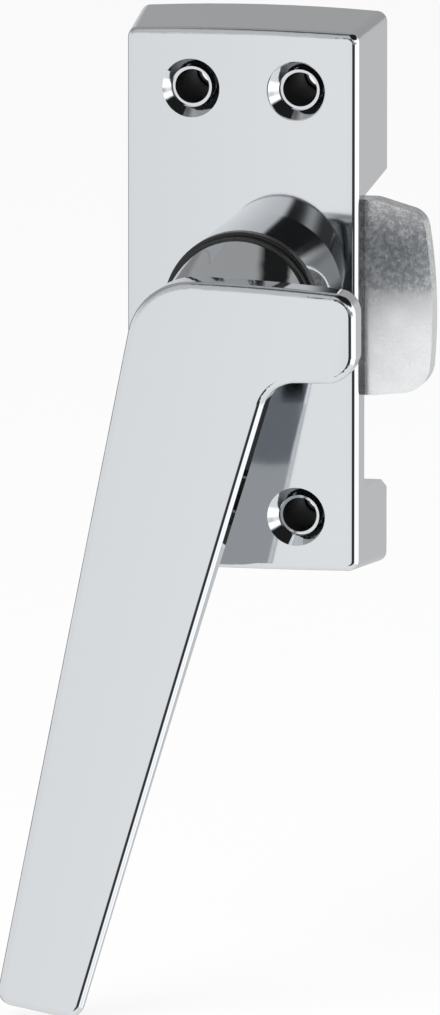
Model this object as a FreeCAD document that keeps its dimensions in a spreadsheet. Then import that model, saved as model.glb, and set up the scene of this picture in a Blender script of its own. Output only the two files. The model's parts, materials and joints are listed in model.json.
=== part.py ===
"""Window fastener: a chromed lever handle that turns a tongue out of a hollow, screwed-on housing.

Millimetres. The origin is where the spindle's axis meets the mounting plane. +X is right, +Z is up,
and the front, where the handle is, faces -Y. Each piece is drawn flat, with its own x to the right,
y up and z towards the front, and its Placement stands it up at its distance from the mounting plane.
At rest the fastener is closed: the lever hangs and the tongue stands out to the right.
"""
import FreeCAD, Part

import math
import os
import Sketcher

App = FreeCAD
Vector = App.Vector

SIZES = {
    # Housing, a die-cast shell, open at the back
    "housing_width": 35.1,
    "housing_length": 81.4,
    "housing_depth": 19.0,
    "housing_crown": 0.8,
    "housing_flare_left": 2.0,
    "housing_flare_right": 0.75,
    "housing_flare_top": 0.75,
    "housing_flare_bottom": 1.85,
    "housing_top_bow": 0.55,
    "housing_bottom_bow": 0.1,
    "housing_corner_round": 1.6,
    "housing_edge_round": 1.0,
    "housing_wall": 2.0,
    "housing_front_wall": 2.5,
    "axis_from_middle": 3.45,
    "axis_above_middle": 1.7,
    # Boss that carries the handle
    "boss_radius": 11.7,
    "boss_height": 16.2,
    "boss_bore_radius": 9.0,
    "boss_bore_depth": 14.0,
    "spindle_way_radius": 6.5,
    # Screw holes
    "screw_from_left": 9.57,
    "screw_from_right": 9.07,
    "screw_from_top": 8.7,
    "screw_from_bottom": 8.05,
    "screw_bore_radius": 2.6,
    "screw_seat_radius": 3.1,
    "screw_seat_depth": 1.9,
    "screw_sink_radius": 4.42,
    "screw_rim_round": 0.25,
    "screw_pillar_wall": 1.8,
    # Window in the right wall that lets the tongue out
    "window_top": 14.0,
    "window_bottom": 30.5,
    "window_top_flare": 1.9,
    "window_bottom_flare": 0.5,
    "window_lip": 3.7,
    "window_lip_drop": 1.7,
    # Tongue
    "tongue_thickness": 4.0,
    "tongue_reach": 23.9,
    "tongue_upper_set_back": 0.7,
    "tongue_bulge": 1.05,
    "tongue_shoulder": 15.9,
    "tongue_top_fall": 2.1,
    "tongue_foot": 16.3,
    "tongue_foot_rise": 0.9,
    "tongue_upper_round": 3.2,
    "tongue_lower_round": 4.5,
    "tongue_back_reach": 9.5,
    "tongue_top_gap": 0.6,
    "tongue_stop_gap": 0.15,
    # Spindle
    "spindle_width": 8.0,
    "spindle_edge_round": 0.5,
    "spindle_in_neck": 4.3,
    "spigot_radius": 3.4,
    "spigot_end_gap": 0.35,
    "groove_radius": 2.6,
    # Washers, sleeve, cam and ring on the spindle
    "thrust_washer_radius": 9.0,
    "thrust_washer_thickness": 0.9,
    "wave_washer_inner": 6.2,
    "wave_washer_outer": 8.4,
    "wave_washer_sheet": 0.4,
    "wave_washer_height": 1.0,
    "sleeve_radius": 6.6,
    "cam_width": 16.0,
    "cam_thickness": 3.3,
    "cam_corner_round": 2.5,
    "end_washer_radius": 7.0,
    "end_washer_thickness": 0.7,
    "ring_radius": 5.2,
    "ring_thickness": 0.8,
    "ring_mouth": 3.4,
    "ring_end_gap": 0.85,
    # Leaf springs that hold the cam by its flats
    "leaf_sheet": 0.8,
    "leaf_width": 3.1,
    "leaf_from_screws": 3.4,
    "seat_width": 5.0,
    "seat_length": 4.0,
    "seat_past_leaf": 1.0,
    # Back plate and its screws
    "plate_thickness": 1.4,
    "plate_corner_round": 1.6,
    "plate_clear_of_window": 1.0,
    "plate_hole_radius": 2.3,
    "plate_screw_radius": 1.25,
    "plate_screw_length": 8.0,
    "plate_screw_end_gap": 0.2,
    "plate_head_radius": 2.4,
    "plate_post_radius": 3.0,
    # Bush and slide washer, the black ring under the handle
    "bush_flange": 2.0,
    "bush_end_gap": 0.3,
    "bush_edge_round": 0.3,
    "journal_radius": 7.55,
    "slide_washer_radius": 11.15,
    "slide_washer_thickness": 2.0,
    # Handle
    "neck_radius": 10.84,
    "neck_height": 8.6,
    "head_thickness": 6.6,
    "head_above_axis": 6.7,
    "head_below_axis": 8.0,
    "head_right_reach": 20.65,
    "head_top_fall": 1.4,
    "head_top_bow": 0.55,
    "head_left_round": 9.8,
    "head_upper_round": 3.4,
    "head_lower_round": 4.4,
    "head_inner_round": 5.0,
    "lever_left_at_axis": 13.48,
    "lever_left_slant": 11.2,
    "lever_right_at_axis": 10.3,
    "lever_right_slant": 16.6,
    "lever_length": 105.6,
    "lever_tip_rise": 2.3,
    "lever_tip_round": 2.3,
    "lever_tip_thickness": 2.9,
    "lever_full_until": 22.0,
    "lever_back_bow": 0.9,
    "handle_crown": 1.15,
    "handle_crown_reach": 22.0,
    "handle_crown_slant": 13.9,
    "handle_front_round": 1.05,
    "handle_back_round": 0.8,
    "pin_radius": 1.5,
    "pin_length": 14.4,
    "pin_from_neck_base": 2.5,
    "pin_past_spindle": 0.5,
    # Clearances
    "running_gap": 0.05,
    "loose_gap": 0.1,
    "fit_gap": 0.03,
}

# How close counts as the same place when edges and faces are told apart, and the least volume a cut takes
SAME_PLACE = 0.01
CLOSE_BY = 0.1
LEAST_CHANGE = 0.01

doc = App.newDocument("window_fastener")
sheet = doc.addObject("Spreadsheet::Sheet", "Sizes")
for row, (alias, number) in enumerate(SIZES.items(), start=1):
    sheet.set(f"A{row}", alias)
    sheet.set(f"B{row}", str(number))
    sheet.setAlias(f"B{row}", alias)
doc.recompute()


def text_of(amount):
    return amount.text if isinstance(amount, Size) else repr(float(amount))


def value_of(amount):
    return amount.value if isinstance(amount, Size) else float(amount)


class Size:
    """A length that keeps its spreadsheet expression beside its present value."""

    def __init__(self, text, value):
        self.text = text
        self.value = value

    def __add__(self, other):
        return Size(f"({self.text} + {text_of(other)})", self.value + value_of(other))

    def __sub__(self, other):
        return Size(f"({self.text} - {text_of(other)})", self.value - value_of(other))

    def __mul__(self, other):
        return Size(f"({self.text} * {text_of(other)})", self.value * value_of(other))

    def __truediv__(self, other):
        return Size(f"({self.text} / {text_of(other)})", self.value / value_of(other))

    def __neg__(self):
        return Size(f"(0 - {self.text})", -self.value)

    def __abs__(self):
        return Size(f"abs({self.text})", abs(self.value))


def slope(angle):
    """Tangent of an angle that is in degrees."""
    return Size(f"tan({angle.text} * 1 deg)", math.tan(math.radians(angle.value)))


class SizeTable:
    """The sheet's cells by name."""

    def __getattr__(self, alias):
        return Size("Sizes." + alias, SIZES[alias])


size = SizeTable()
ZERO = Size("0", 0.0)
STAND_UP = App.Rotation(Vector(1, 0, 0), 90)


def new_body(label, distance):
    """A body whose z = 0 lies at this distance in front of the mounting plane."""
    body = doc.addObject("PartDesign::Body", label)
    body.Label = label
    body.Placement = App.Placement(Vector(0, -distance.value, 0), STAND_UP)
    body.setExpression("Placement.Base.y", (-distance).text)
    return body


def new_sketch(body, name, height=ZERO, plane="XY_Plane"):
    sketch = body.newObject("Sketcher::SketchObject", name)
    support = next(item for item in body.Origin.OriginFeatures if item.Role == plane)
    sketch.AttachmentSupport = (support, [""])
    sketch.MapMode = "FlatFace"
    sketch.AttachmentOffset = App.Placement(Vector(0, 0, height.value), App.Rotation())
    sketch.setExpression("AttachmentOffset.Base.z", height.text)
    return sketch


def bind(sketch, kind, *where):
    """Add one dimension to a sketch and tie it to the sheet. The last argument is the Size."""
    amount = where[-1]
    index = sketch.addConstraint(Sketcher.Constraint(kind, *where[:-1], amount.value))
    sketch.setExpression(f"Constraints[{index}]", amount.text)


def pin_point(sketch, curve, end, x, y):
    bind(sketch, "DistanceX", -1, 1, curve, end, x)
    bind(sketch, "DistanceY", -1, 1, curve, end, y)


def draw_circle(sketch, x, y, radius):
    centre = Vector(x.value, y.value, 0)
    curve = sketch.addGeometry(Part.Circle(centre, Vector(0, 0, 1), radius.value))
    pin_point(sketch, curve, 3, x, y)
    bind(sketch, "Radius", curve, radius)


def draw_outline(sketch, corners):
    """Closed outline through corners, anticlockwise.

    A corner is its x and y, and a third size where the side that starts there bulges outwards by it,
    or inwards if the size is below zero.
    """
    curves = []
    for corner, follower in pairs_round(corners):
        curve = sketch.addGeometry(side_curve(corner, follower))
        curves.append((curve, *end_numbers(corner)))
    for (curve, _, end), (next_curve, next_start, _) in pairs_round(curves):
        sketch.addConstraint(Sketcher.Constraint("Coincident", curve, end, next_curve, next_start))
    for (curve, start, _), (corner, follower) in zip(curves, pairs_round(corners)):
        x, y, *bow = corner
        pin_point(sketch, curve, start, x, y)
        if bow:
            across = follower[0] - x
            along = follower[1] - y
            chord_squared = across * across + along * along
            bind(sketch, "Radius", curve, abs(chord_squared / (bow[0] * 8) + bow[0] / 2))


def pairs_round(items):
    """Each item with the next one, and the last with the first."""
    return list(zip(items, items[1:] + items[:1]))


def end_numbers(corner):
    """The sketch's numbers for a side's start and end. An arc that curves inwards is kept turned round."""
    curves_inwards = len(corner) == 3 and corner[2].value < 0
    return (2, 1) if curves_inwards else (1, 2)


def side_curve(corner, follower):
    """A straight side, or an arc where the corner says how far it bulges."""
    start = Vector(corner[0].value, corner[1].value, 0)
    end = Vector(follower[0].value, follower[1].value, 0)
    if len(corner) == 2:
        return Part.LineSegment(start, end)
    along = end - start
    outwards = Vector(along.y, -along.x, 0).normalize()
    middle = (start + end) * 0.5 + outwards * corner[2].value
    return Part.Arc(start, middle, end)


def draw_box(sketch, left, right, bottom, top):
    draw_outline(sketch, [(left, bottom), (right, bottom), (right, top), (left, top)])


def feature(body, kind, name, profile, length=None, turned=False):
    """A pad or pocket of a sketch. turned sends it the other way."""
    item = body.newObject("PartDesign::" + kind, name)
    item.Profile = profile
    if length is None:
        item.Type = "ThroughAll"
    else:
        item.Type = "Length"
        item.setExpression("Length", length.text)
    item.Reversed = turned
    return item


def must_change(body, name, action):
    """Run one step and stop if the solid's volume stays as it was."""
    doc.recompute()
    before = body.Shape.Volume
    item = action()
    doc.recompute()
    after = body.Shape.Volume
    if abs(after - before) < LEAST_CHANGE:
        failed = [entry.Label for entry in doc.Objects if "Invalid" in entry.State]
        raise RuntimeError(f"{name} changes nothing; failed: {failed}")
    return item


def edges_where(shape, test):
    return [f"Edge{index}" for index, edge in enumerate(shape.Edges, start=1) if test(edge)]


def faces_where(shape, test):
    return [f"Face{index}" for index, face in enumerate(shape.Faces, start=1) if test(face)]


def round_edges(body, name, radius, test):
    """Fillet the edges of the body's tip that pass the test."""
    doc.recompute()
    base = body.Tip
    names = edges_where(base.Shape, test)
    if not names:
        raise RuntimeError(f"{name} finds no edge")
    fillet = body.newObject("PartDesign::Fillet", name)
    fillet.Base = (base, names)
    fillet.setExpression("Radius", radius.text)
    doc.recompute()
    return fillet


def is_upright(edge):
    """True for an edge that runs from back to front, not along a face."""
    first = edge.Vertexes[0].Point
    last = edge.Vertexes[-1].Point
    run = last - first
    return len(edge.Vertexes) == 2 and abs(run.z) > 0.8 * run.Length and run.Length > CLOSE_BY


def at_height(edge, height):
    """True for an edge that lies flat at this height."""
    box = edge.BoundBox
    return abs(box.ZMin - height) < SAME_PLACE and abs(box.ZMax - height) < SAME_PLACE


def near(edge, x, y):
    middle = edge.CenterOfMass
    return math.hypot(middle.x - x.value, middle.y - y.value) < CLOSE_BY


# Places that several pieces share
middle_x = -size.axis_from_middle
middle_y = -size.axis_above_middle
half_width = size.housing_width / 2
half_length = size.housing_length / 2
inner_front = size.housing_depth - size.housing_front_wall
front_top = size.housing_depth + size.housing_crown
boss_end = front_top + size.boss_height
right_column = middle_x + half_width - size.screw_from_right
left_column = middle_x - half_width + size.screw_from_left
upper_row = middle_y + half_length - size.screw_from_top
lower_row = middle_y - half_length + size.screw_from_bottom
SCREW_PLACES = [(left_column, upper_row), (right_column, upper_row), (right_column, lower_row)]
PLATE_SCREW_PLACES = [(middle_x, upper_row + size.plate_post_radius), (left_column, lower_row)]

# Depths along the spindle, from the mounting plane. The tongue hangs on the front wall, the cam stands
# clear of the back plate, and the sleeve fills what is between them.
wave_back = inner_front - size.running_gap - size.wave_washer_height
thrust_back = wave_back - size.thrust_washer_thickness
tongue_back = thrust_back - size.tongue_thickness
spigot_back = size.plate_thickness + size.spigot_end_gap
ring_back = size.plate_thickness + size.ring_end_gap
end_washer_back = ring_back + size.ring_thickness
cam_back = end_washer_back + size.end_washer_thickness
sleeve_back = cam_back + size.cam_thickness
sleeve_length = tongue_back - sleeve_back
neck_base = boss_end + size.bush_flange + size.running_gap + size.slide_washer_thickness
journal_end = boss_end - size.boss_bore_depth + size.bush_end_gap + size.bush_end_gap
pin_middle = neck_base + size.pin_from_neck_base
spindle_end = neck_base + size.spindle_in_neck

half_spindle = size.spindle_width / 2
half_square_hole = half_spindle + size.fit_gap
half_cam = size.cam_width / 2
pin_top = half_spindle + size.pin_past_spindle
leaf_middle = half_cam + size.running_gap + size.leaf_sheet / 2
leaf_back = cam_back + size.running_gap
leaf_top = upper_row - size.leaf_from_screws
leaf_bottom = lower_row + size.leaf_from_screws
window_front = tongue_back + size.tongue_thickness + size.loose_gap


def inner_half(outer_half):
    """Half the hollow's width or length, one wall inside the front's outline."""
    return outer_half - size.housing_wall


def bowed_box(sketch, half_x, half_y):
    """The housing's outline: straight sides, and ends that bulge a little."""
    corners = [
        (middle_x - half_x, middle_y - half_y, size.housing_bottom_bow),
        (middle_x + half_x, middle_y - half_y),
        (middle_x + half_x, middle_y + half_y, size.housing_top_bow),
        (middle_x - half_x, middle_y + half_y),
    ]
    draw_outline(sketch, corners)


def loft(body, kind, name, first, last):
    item = body.newObject("PartDesign::" + kind, name)
    item.Profile = first
    item.Sections = [last]
    return item


def draft(body, name, run_out, depth, outwards):
    """Lean the wall that faces this way outwards, so that it runs out by this much at the back."""
    doc.recompute()
    base = body.Tip
    front_height = depth.value
    faces = faces_where(base.Shape, lambda face: faces_towards(face, outwards))
    front = faces_where(base.Shape, lambda face: abs(face.CenterOfMass.z - front_height) < SAME_PLACE)
    item = body.newObject("PartDesign::Draft", name)
    item.Base = (base, faces)
    item.NeutralPlane = (base, front)
    item.setExpression("Angle", f"atan({run_out.text} / {depth.text})")
    doc.recompute()
    return item


def make_housing():
    body = new_body("housing", ZERO)
    outline = new_sketch(body, "housing_outline")
    bowed_box(outline, half_width, half_length)
    feature(body, "Pad", "housing_block", outline, front_top)
    draft(body, "left_draft", size.housing_flare_left, front_top, Vector(-1, 0, 0))
    draft(body, "right_draft", size.housing_flare_right, front_top, Vector(1, 0, 0))
    draft(body, "top_draft", size.housing_flare_top, front_top, Vector(0, 1, 0))
    draft(body, "bottom_draft", size.housing_flare_bottom, front_top, Vector(0, -1, 0))
    round_edges(body, "housing_corners", size.housing_corner_round, is_upright)
    crown_front(body)
    below_edge = (size.housing_depth - size.housing_edge_round / 2).value
    round_edges(body, "housing_front_edge", size.housing_edge_round,
                lambda edge: edge.BoundBox.ZMin > below_edge)

    boss = new_sketch(body, "boss_outline", inner_front)
    draw_circle(boss, ZERO, ZERO, size.boss_radius)
    feature(body, "Pad", "boss", boss, boss_end - inner_front)

    hollow = new_sketch(body, "hollow_outline")
    bowed_box(hollow, inner_half(half_width), inner_half(half_length))
    must_change(body, "hollow", lambda: feature(body, "Pocket", "hollow", hollow, inner_front, turned=True))

    add_pillars(body)
    add_leaf_seats(body)
    add_open_stop(body)
    cut_window(body)
    cut_screw_holes(body)
    cut_boss_bore(body)
    return body


def faces_towards(face, outwards):
    """True for a wall of the plain block that faces this way."""
    u_low, u_high, v_low, v_high = face.ParameterRange
    normal = face.normalAt((u_low + u_high) / 2, (v_low + v_high) / 2)
    return normal.dot(outwards) > 0.9


def crown_front(body):
    """Cut the front to a crown: highest in the middle, lower along both long sides."""
    crown = new_sketch(body, "crown_outline", ZERO, plane="XZ_Plane")
    reach = half_width + size.housing_flare_left
    fall = size.housing_crown * reach * reach / (half_width * half_width)
    left = middle_x - reach
    right = middle_x + reach
    past_front = front_top + size.housing_edge_round
    corners = [
        (left, front_top - fall, -fall),
        (right, front_top - fall),
        (right, past_front),
        (left, past_front),
    ]
    draw_outline(crown, corners)
    must_change(body, "crown", lambda: through_both(body, "crown_cut", crown))


def add_pillars(body):
    """Pillars round the screw bores, and posts for the back plate's screws."""
    pillars = new_sketch(body, "pillar_outlines", size.plate_thickness)
    for x, y in SCREW_PLACES:
        draw_circle(pillars, x, y, size.screw_bore_radius + size.screw_pillar_wall)
    pillar_height = inner_front - size.plate_thickness + size.loose_gap
    feature(body, "Pad", "screw_pillars", pillars, pillar_height)
    posts = new_sketch(body, "post_outlines", size.plate_thickness)
    for x, y in PLATE_SCREW_PLACES:
        draw_circle(posts, x, y, size.plate_post_radius)
    feature(body, "Pad", "plate_posts", posts, pillar_height)


def add_leaf_seats(body):
    """Four slotted blocks that hold the ends of the two leaf springs."""
    seat_back = leaf_back - size.loose_gap
    seats = new_sketch(body, "seat_outlines", seat_back)
    slots = new_sketch(body, "seat_slot_outlines", seat_back)
    half_seat = size.seat_width / 2
    half_slot = size.leaf_sheet / 2 + size.running_gap
    seat_top = leaf_top + size.seat_past_leaf
    seat_bottom = leaf_bottom - size.seat_past_leaf
    for side in (-1, 1):
        x = leaf_middle * side
        draw_box(seats, x - half_seat, x + half_seat, seat_top - size.seat_length, seat_top)
        draw_box(seats, x - half_seat, x + half_seat, seat_bottom, seat_bottom + size.seat_length)
        draw_box(slots, x - half_slot, x + half_slot,
                 leaf_bottom - size.running_gap, leaf_top + size.running_gap)
    feature(body, "Pad", "leaf_seats", seats, inner_front + size.loose_gap - seat_back)
    slot_depth = size.leaf_width + size.running_gap + size.loose_gap
    must_change(body, "leaf slots",
                lambda: feature(body, "Pocket", "leaf_slots", slots, slot_depth, turned=True))


def add_open_stop(body):
    """Rib on the left wall that stops the tongue when the handle has turned to open."""
    rib = new_sketch(body, "open_stop_outline", tongue_back)
    wall = middle_x - inner_half(half_width) - size.loose_gap
    face = -(size.tongue_foot + size.tongue_stop_gap)
    draw_box(rib, wall, face, -size.tongue_foot, -size.tongue_back_reach / 2)
    feature(body, "Pad", "open_stop", rib, inner_front - tongue_back + size.loose_gap)


def cut_window(body):
    """Opening in the right wall, from its back edge, through which the tongue swings."""
    inside = middle_x + inner_half(half_width) - size.loose_gap
    outline = new_sketch(body, "window_outline", inside, plane="YZ_Plane")
    past_back = -size.housing_wall
    corners = [
        (-(size.window_bottom + size.window_bottom_flare + size.window_lip_drop), past_back),
        (size.window_top + size.window_top_flare, past_back),
        (size.window_top + size.window_top_flare, ZERO),
        (size.window_top, window_front),
        (-size.window_bottom, window_front),
        (-(size.window_bottom + size.window_bottom_flare), size.window_lip),
        (-(size.window_bottom + size.window_bottom_flare + size.window_lip_drop), ZERO),
    ]
    draw_outline(outline, corners)
    reach = size.housing_wall * 2 + size.housing_flare_right
    must_change(body, "window",
                lambda: feature(body, "Pocket", "tongue_window", outline, reach, turned=True))


def cut_screw_holes(body):
    """Countersunk seats in the front and bores right through, set out on a plane at the crown's top."""
    seats = new_sketch(body, "screw_seat_places", front_top)
    bores = new_sketch(body, "screw_bore_places", front_top)
    from_crown = right_column - middle_x
    crown_fall = size.housing_crown * from_crown * from_crown / (half_width * half_width)
    for x, y in SCREW_PLACES:
        draw_circle(seats, x, y, size.screw_seat_radius)
        draw_circle(bores, x, y, size.screw_bore_radius)
    doc.recompute()
    hole = body.newObject("PartDesign::Hole", "screw_seats")
    hole.Profile = seats
    hole.setExpression("Diameter", (size.screw_seat_radius * 2).text)
    hole.DepthType = "Dimension"
    hole.setExpression("Depth", (size.screw_seat_depth + crown_fall).text)
    hole.DrillPoint = "Flat"
    hole.HoleCutType = "Countersink"
    hole.setExpression("HoleCutDiameter", ((size.screw_sink_radius + crown_fall) * 2).text)
    hole.HoleCutCountersinkAngle = 90
    doc.recompute()
    must_change(body, "screw bores", lambda: feature(body, "Pocket", "screw_bores", bores))
    sink = size.screw_sink_radius.value
    round_edges(body, "screw_rims", size.screw_rim_round, lambda edge: is_sink_rim(edge, sink))
    posts = new_sketch(body, "post_bore_places", size.plate_thickness)
    for x, y in PLATE_SCREW_PLACES:
        draw_circle(posts, x, y, size.plate_screw_radius + size.fit_gap)
    depth = size.plate_screw_length - size.plate_thickness + size.plate_screw_end_gap
    must_change(body, "post bores",
                lambda: feature(body, "Pocket", "post_bores", posts, depth, turned=True))


def is_sink_rim(edge, radius):
    """True for the rim where a countersink meets the crowned front."""
    box = edge.BoundBox
    middle = box.Center
    nearest = min(math.hypot(middle.x - x.value, middle.y - y.value) for x, y in SCREW_PLACES)
    return nearest < radius / 2 and box.ZMin > size.housing_depth.value and box.YLength > radius * 1.5


def cut_boss_bore(body):
    """Seat for the bush from the front, and the spindle's way through to the hollow."""
    seat = new_sketch(body, "bush_seat_outline", boss_end)
    draw_circle(seat, ZERO, ZERO, size.boss_bore_radius)
    must_change(body, "bush seat",
                lambda: feature(body, "Pocket", "bush_seat", seat, size.boss_bore_depth))
    way = new_sketch(body, "spindle_way_outline", boss_end)
    draw_circle(way, ZERO, ZERO, size.spindle_way_radius)
    way_depth = boss_end - inner_front + size.loose_gap
    must_change(body, "spindle way", lambda: feature(body, "Pocket", "spindle_way", way, way_depth))


def make_bearing_bush():
    """Black plastic bush: a sleeve in the boss and a flange on its end."""
    back = boss_end - size.boss_bore_depth + size.bush_end_gap
    body = new_body("bearing_bush", back)
    sleeve_length = boss_end - back
    sleeve = new_sketch(body, "bush_sleeve_outline")
    draw_circle(sleeve, ZERO, ZERO, size.boss_bore_radius - size.fit_gap)
    feature(body, "Pad", "bush_sleeve", sleeve, sleeve_length)
    flange = new_sketch(body, "bush_flange_outline", sleeve_length)
    draw_circle(flange, ZERO, ZERO, size.boss_radius)
    feature(body, "Pad", "bush_flange", flange, size.bush_flange)
    bore = new_sketch(body, "bush_bore_outline")
    draw_circle(bore, ZERO, ZERO, size.journal_radius + size.running_gap)
    must_change(body, "bush bore", lambda: feature(body, "Pocket", "bush_bore", bore, turned=True))
    flange_front = (sleeve_length + size.bush_flange).value
    outer = size.boss_radius.value
    round_edges(body, "bush_front_edge", size.bush_edge_round,
                lambda edge: at_height(edge, flange_front) and edge.BoundBox.XMax > outer - CLOSE_BY)
    return body


def make_disc(label, distance, thickness, radius, hole_radius=None):
    """A flat round piece. Without a hole radius it has the spindle's square hole."""
    body = new_body(label, distance)
    outline = new_sketch(body, label + "_outline")
    draw_circle(outline, ZERO, ZERO, radius)
    if hole_radius is None:
        draw_box(outline, -half_square_hole, half_square_hole, -half_square_hole, half_square_hole)
    else:
        draw_circle(outline, ZERO, ZERO, hole_radius)
    feature(body, "Pad", label + "_pad", outline, thickness)
    return body


def make_spindle():
    """Square steel spindle with a round, grooved end for the ring that holds the stack."""
    body = new_body("spindle", spigot_back)
    square = new_sketch(body, "spindle_square", cam_back - spigot_back)
    draw_box(square, -half_spindle, half_spindle, -half_spindle, half_spindle)
    feature(body, "Pad", "spindle_bar", square, spindle_end - cam_back)
    round_edges(body, "spindle_edges", size.spindle_edge_round, is_upright)
    spigot = new_sketch(body, "spigot_outline")
    draw_circle(spigot, ZERO, ZERO, size.spigot_radius)
    feature(body, "Pad", "spigot", spigot, cam_back - spigot_back)
    groove = new_sketch(body, "groove_outline", ring_back - spigot_back)
    draw_circle(groove, ZERO, ZERO, size.spigot_radius + size.loose_gap)
    draw_circle(groove, ZERO, ZERO, size.groove_radius)
    must_change(body, "ring groove",
                lambda: feature(body, "Pocket", "ring_groove", groove, size.ring_thickness, turned=True))
    pin_hole = new_sketch(body, "spindle_pin_hole", ZERO, plane="XZ_Plane")
    draw_circle(pin_hole, ZERO, pin_middle - spigot_back, size.pin_radius + size.fit_gap)
    must_change(body, "pin hole", lambda: through_both(body, "spindle_pin_way", pin_hole))
    return body


def through_both(body, name, profile):
    item = body.newObject("PartDesign::Pocket", name)
    item.Profile = profile
    item.Type = "ThroughAll"
    item.Midplane = True
    return item


def make_wave_washer():
    """Spring washer: a sheet ring that waves three times between two heights."""
    amplitude = (size.wave_washer_height.value - size.wave_washer_sheet.value) / 2
    waves = 3
    steps = 36

    def rim(radius):
        points = []
        for step in range(steps):
            turn = 2 * math.pi * step / steps
            lift = amplitude * (1 + math.sin(waves * turn))
            points.append(Vector(radius * math.cos(turn), radius * math.sin(turn), lift))
        curve = Part.BSplineCurve()
        curve.interpolate(points, PeriodicFlag=True)
        return curve.toShape()

    sheet_face = Part.makeRuledSurface(rim(size.wave_washer_inner.value), rim(size.wave_washer_outer.value))
    washer = doc.addObject("Part::Feature", "wave_washer")
    washer.Label = "wave_washer"
    washer.Shape = Part.Solid(sheet_face.extrude(Vector(0, 0, size.wave_washer_sheet.value)))
    washer.Placement = App.Placement(Vector(0, -wave_back.value, 0), STAND_UP)
    return washer


def make_tongue():
    """Galvanised steel tongue: a plate round the spindle with a bulging end outside the housing."""
    body = new_body("tongue", tongue_back)
    outline = new_sketch(body, "tongue_outline")
    top = size.window_top - size.tongue_top_gap
    foot = -(size.tongue_foot - size.tongue_foot_rise)
    upper_reach = size.tongue_reach - size.tongue_upper_set_back
    upper = top - size.tongue_top_fall
    corners = [
        (size.spindle_width / 4, -size.tongue_foot),
        (size.tongue_shoulder, -size.tongue_foot),
        (size.tongue_reach, foot, size.tongue_bulge),
        (upper_reach, upper),
        (size.tongue_shoulder, top),
        (size.spindle_width, top),
        (-size.tongue_back_reach, size.tongue_back_reach / 2),
        (-size.tongue_back_reach, -size.tongue_back_reach / 2),
    ]
    draw_outline(outline, corners)
    feature(body, "Pad", "tongue_plate", outline, size.tongue_thickness)
    shoulder = size.tongue_shoulder.value
    hub_end = size.spindle_width.value
    round_edges(body, "tongue_lower_corner", size.tongue_lower_round,
                lambda edge: is_upright(edge) and near(edge, size.tongue_reach, foot))
    round_edges(body, "tongue_upper_corner", size.tongue_upper_round,
                lambda edge: is_upright(edge) and near(edge, upper_reach, upper))
    round_edges(body, "tongue_shoulders", size.tongue_upper_round,
                lambda edge: is_upright(edge) and abs(edge.CenterOfMass.x - shoulder) < CLOSE_BY)
    round_edges(body, "tongue_hub_corners", size.tongue_lower_round,
                lambda edge: is_upright(edge) and edge.CenterOfMass.x < hub_end + CLOSE_BY)
    square = new_sketch(body, "tongue_square_hole")
    draw_box(square, -half_square_hole, half_square_hole, -half_square_hole, half_square_hole)
    must_change(body, "square hole", lambda: feature(body, "Pocket", "tongue_hole", square, turned=True))
    return body


def make_detent_cam():
    """Square cam with rounded corners, whose flats rest against the leaf springs."""
    body = new_body("detent_cam", cam_back)
    outline = new_sketch(body, "cam_outline")
    draw_box(outline, -half_cam, half_cam, -half_cam, half_cam)
    feature(body, "Pad", "cam_plate", outline, size.cam_thickness)
    round_edges(body, "cam_corners", size.cam_corner_round, is_upright)
    square = new_sketch(body, "cam_square_hole")
    draw_box(square, -half_square_hole, half_square_hole, -half_square_hole, half_square_hole)
    must_change(body, "square hole", lambda: feature(body, "Pocket", "cam_hole", square, turned=True))
    return body


def make_leaf_spring(label, side):
    body = new_body(label, leaf_back)
    outline = new_sketch(body, label + "_outline")
    x = leaf_middle * side
    half_sheet = size.leaf_sheet / 2
    draw_box(outline, x - half_sheet, x + half_sheet, leaf_bottom, leaf_top)
    feature(body, "Pad", label + "_strip", outline, size.leaf_width)
    return body


def make_retaining_ring():
    """Open ring, snapped into the spindle's groove."""
    body = make_disc("retaining_ring", ring_back, size.ring_thickness, size.ring_radius,
                     size.groove_radius + size.fit_gap)
    mouth = new_sketch(body, "ring_mouth_outline")
    half_mouth = size.ring_mouth / 2
    draw_box(mouth, -half_mouth, half_mouth, -(size.ring_radius + size.loose_gap), ZERO)
    must_change(body, "ring mouth",
                lambda: feature(body, "Pocket", "ring_opening", mouth, turned=True))
    return body


def make_back_plate():
    """Pressed steel plate that closes the back, flush with the housing's rim."""
    body = new_body("back_plate", ZERO)
    outline = new_sketch(body, "plate_outline")
    side = inner_half(half_width) - size.loose_gap
    end = inner_half(half_length) - size.loose_gap
    right = middle_x + side - size.plate_clear_of_window
    draw_box(outline, middle_x - side, right, middle_y - end, middle_y + end)
    feature(body, "Pad", "plate", outline, size.plate_thickness)
    round_edges(body, "plate_corners", size.plate_corner_round, is_upright)
    holes = new_sketch(body, "plate_hole_places")
    for x, y in SCREW_PLACES:
        draw_circle(holes, x, y, size.plate_hole_radius)
    for x, y in PLATE_SCREW_PLACES:
        draw_circle(holes, x, y, size.plate_screw_radius + size.fit_gap)
    must_change(body, "plate holes", lambda: feature(body, "Pocket", "plate_holes", holes, turned=True))
    for number, (x, y) in enumerate(PLATE_SCREW_PLACES):
        cut_plate_sink(body, f"plate_sink_{number}", x, y)
    return body


def cut_plate_sink(body, name, x, y):
    """Cone for a screw's head, wide at the mounting plane."""
    wide = new_sketch(body, name + "_wide")
    draw_circle(wide, x, y, size.plate_head_radius + size.fit_gap)
    narrow = new_sketch(body, name + "_narrow", size.plate_thickness)
    draw_circle(narrow, x, y, size.plate_screw_radius + size.fit_gap)
    must_change(body, name, lambda: loft(body, "SubtractiveLoft", name, wide, narrow))


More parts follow.
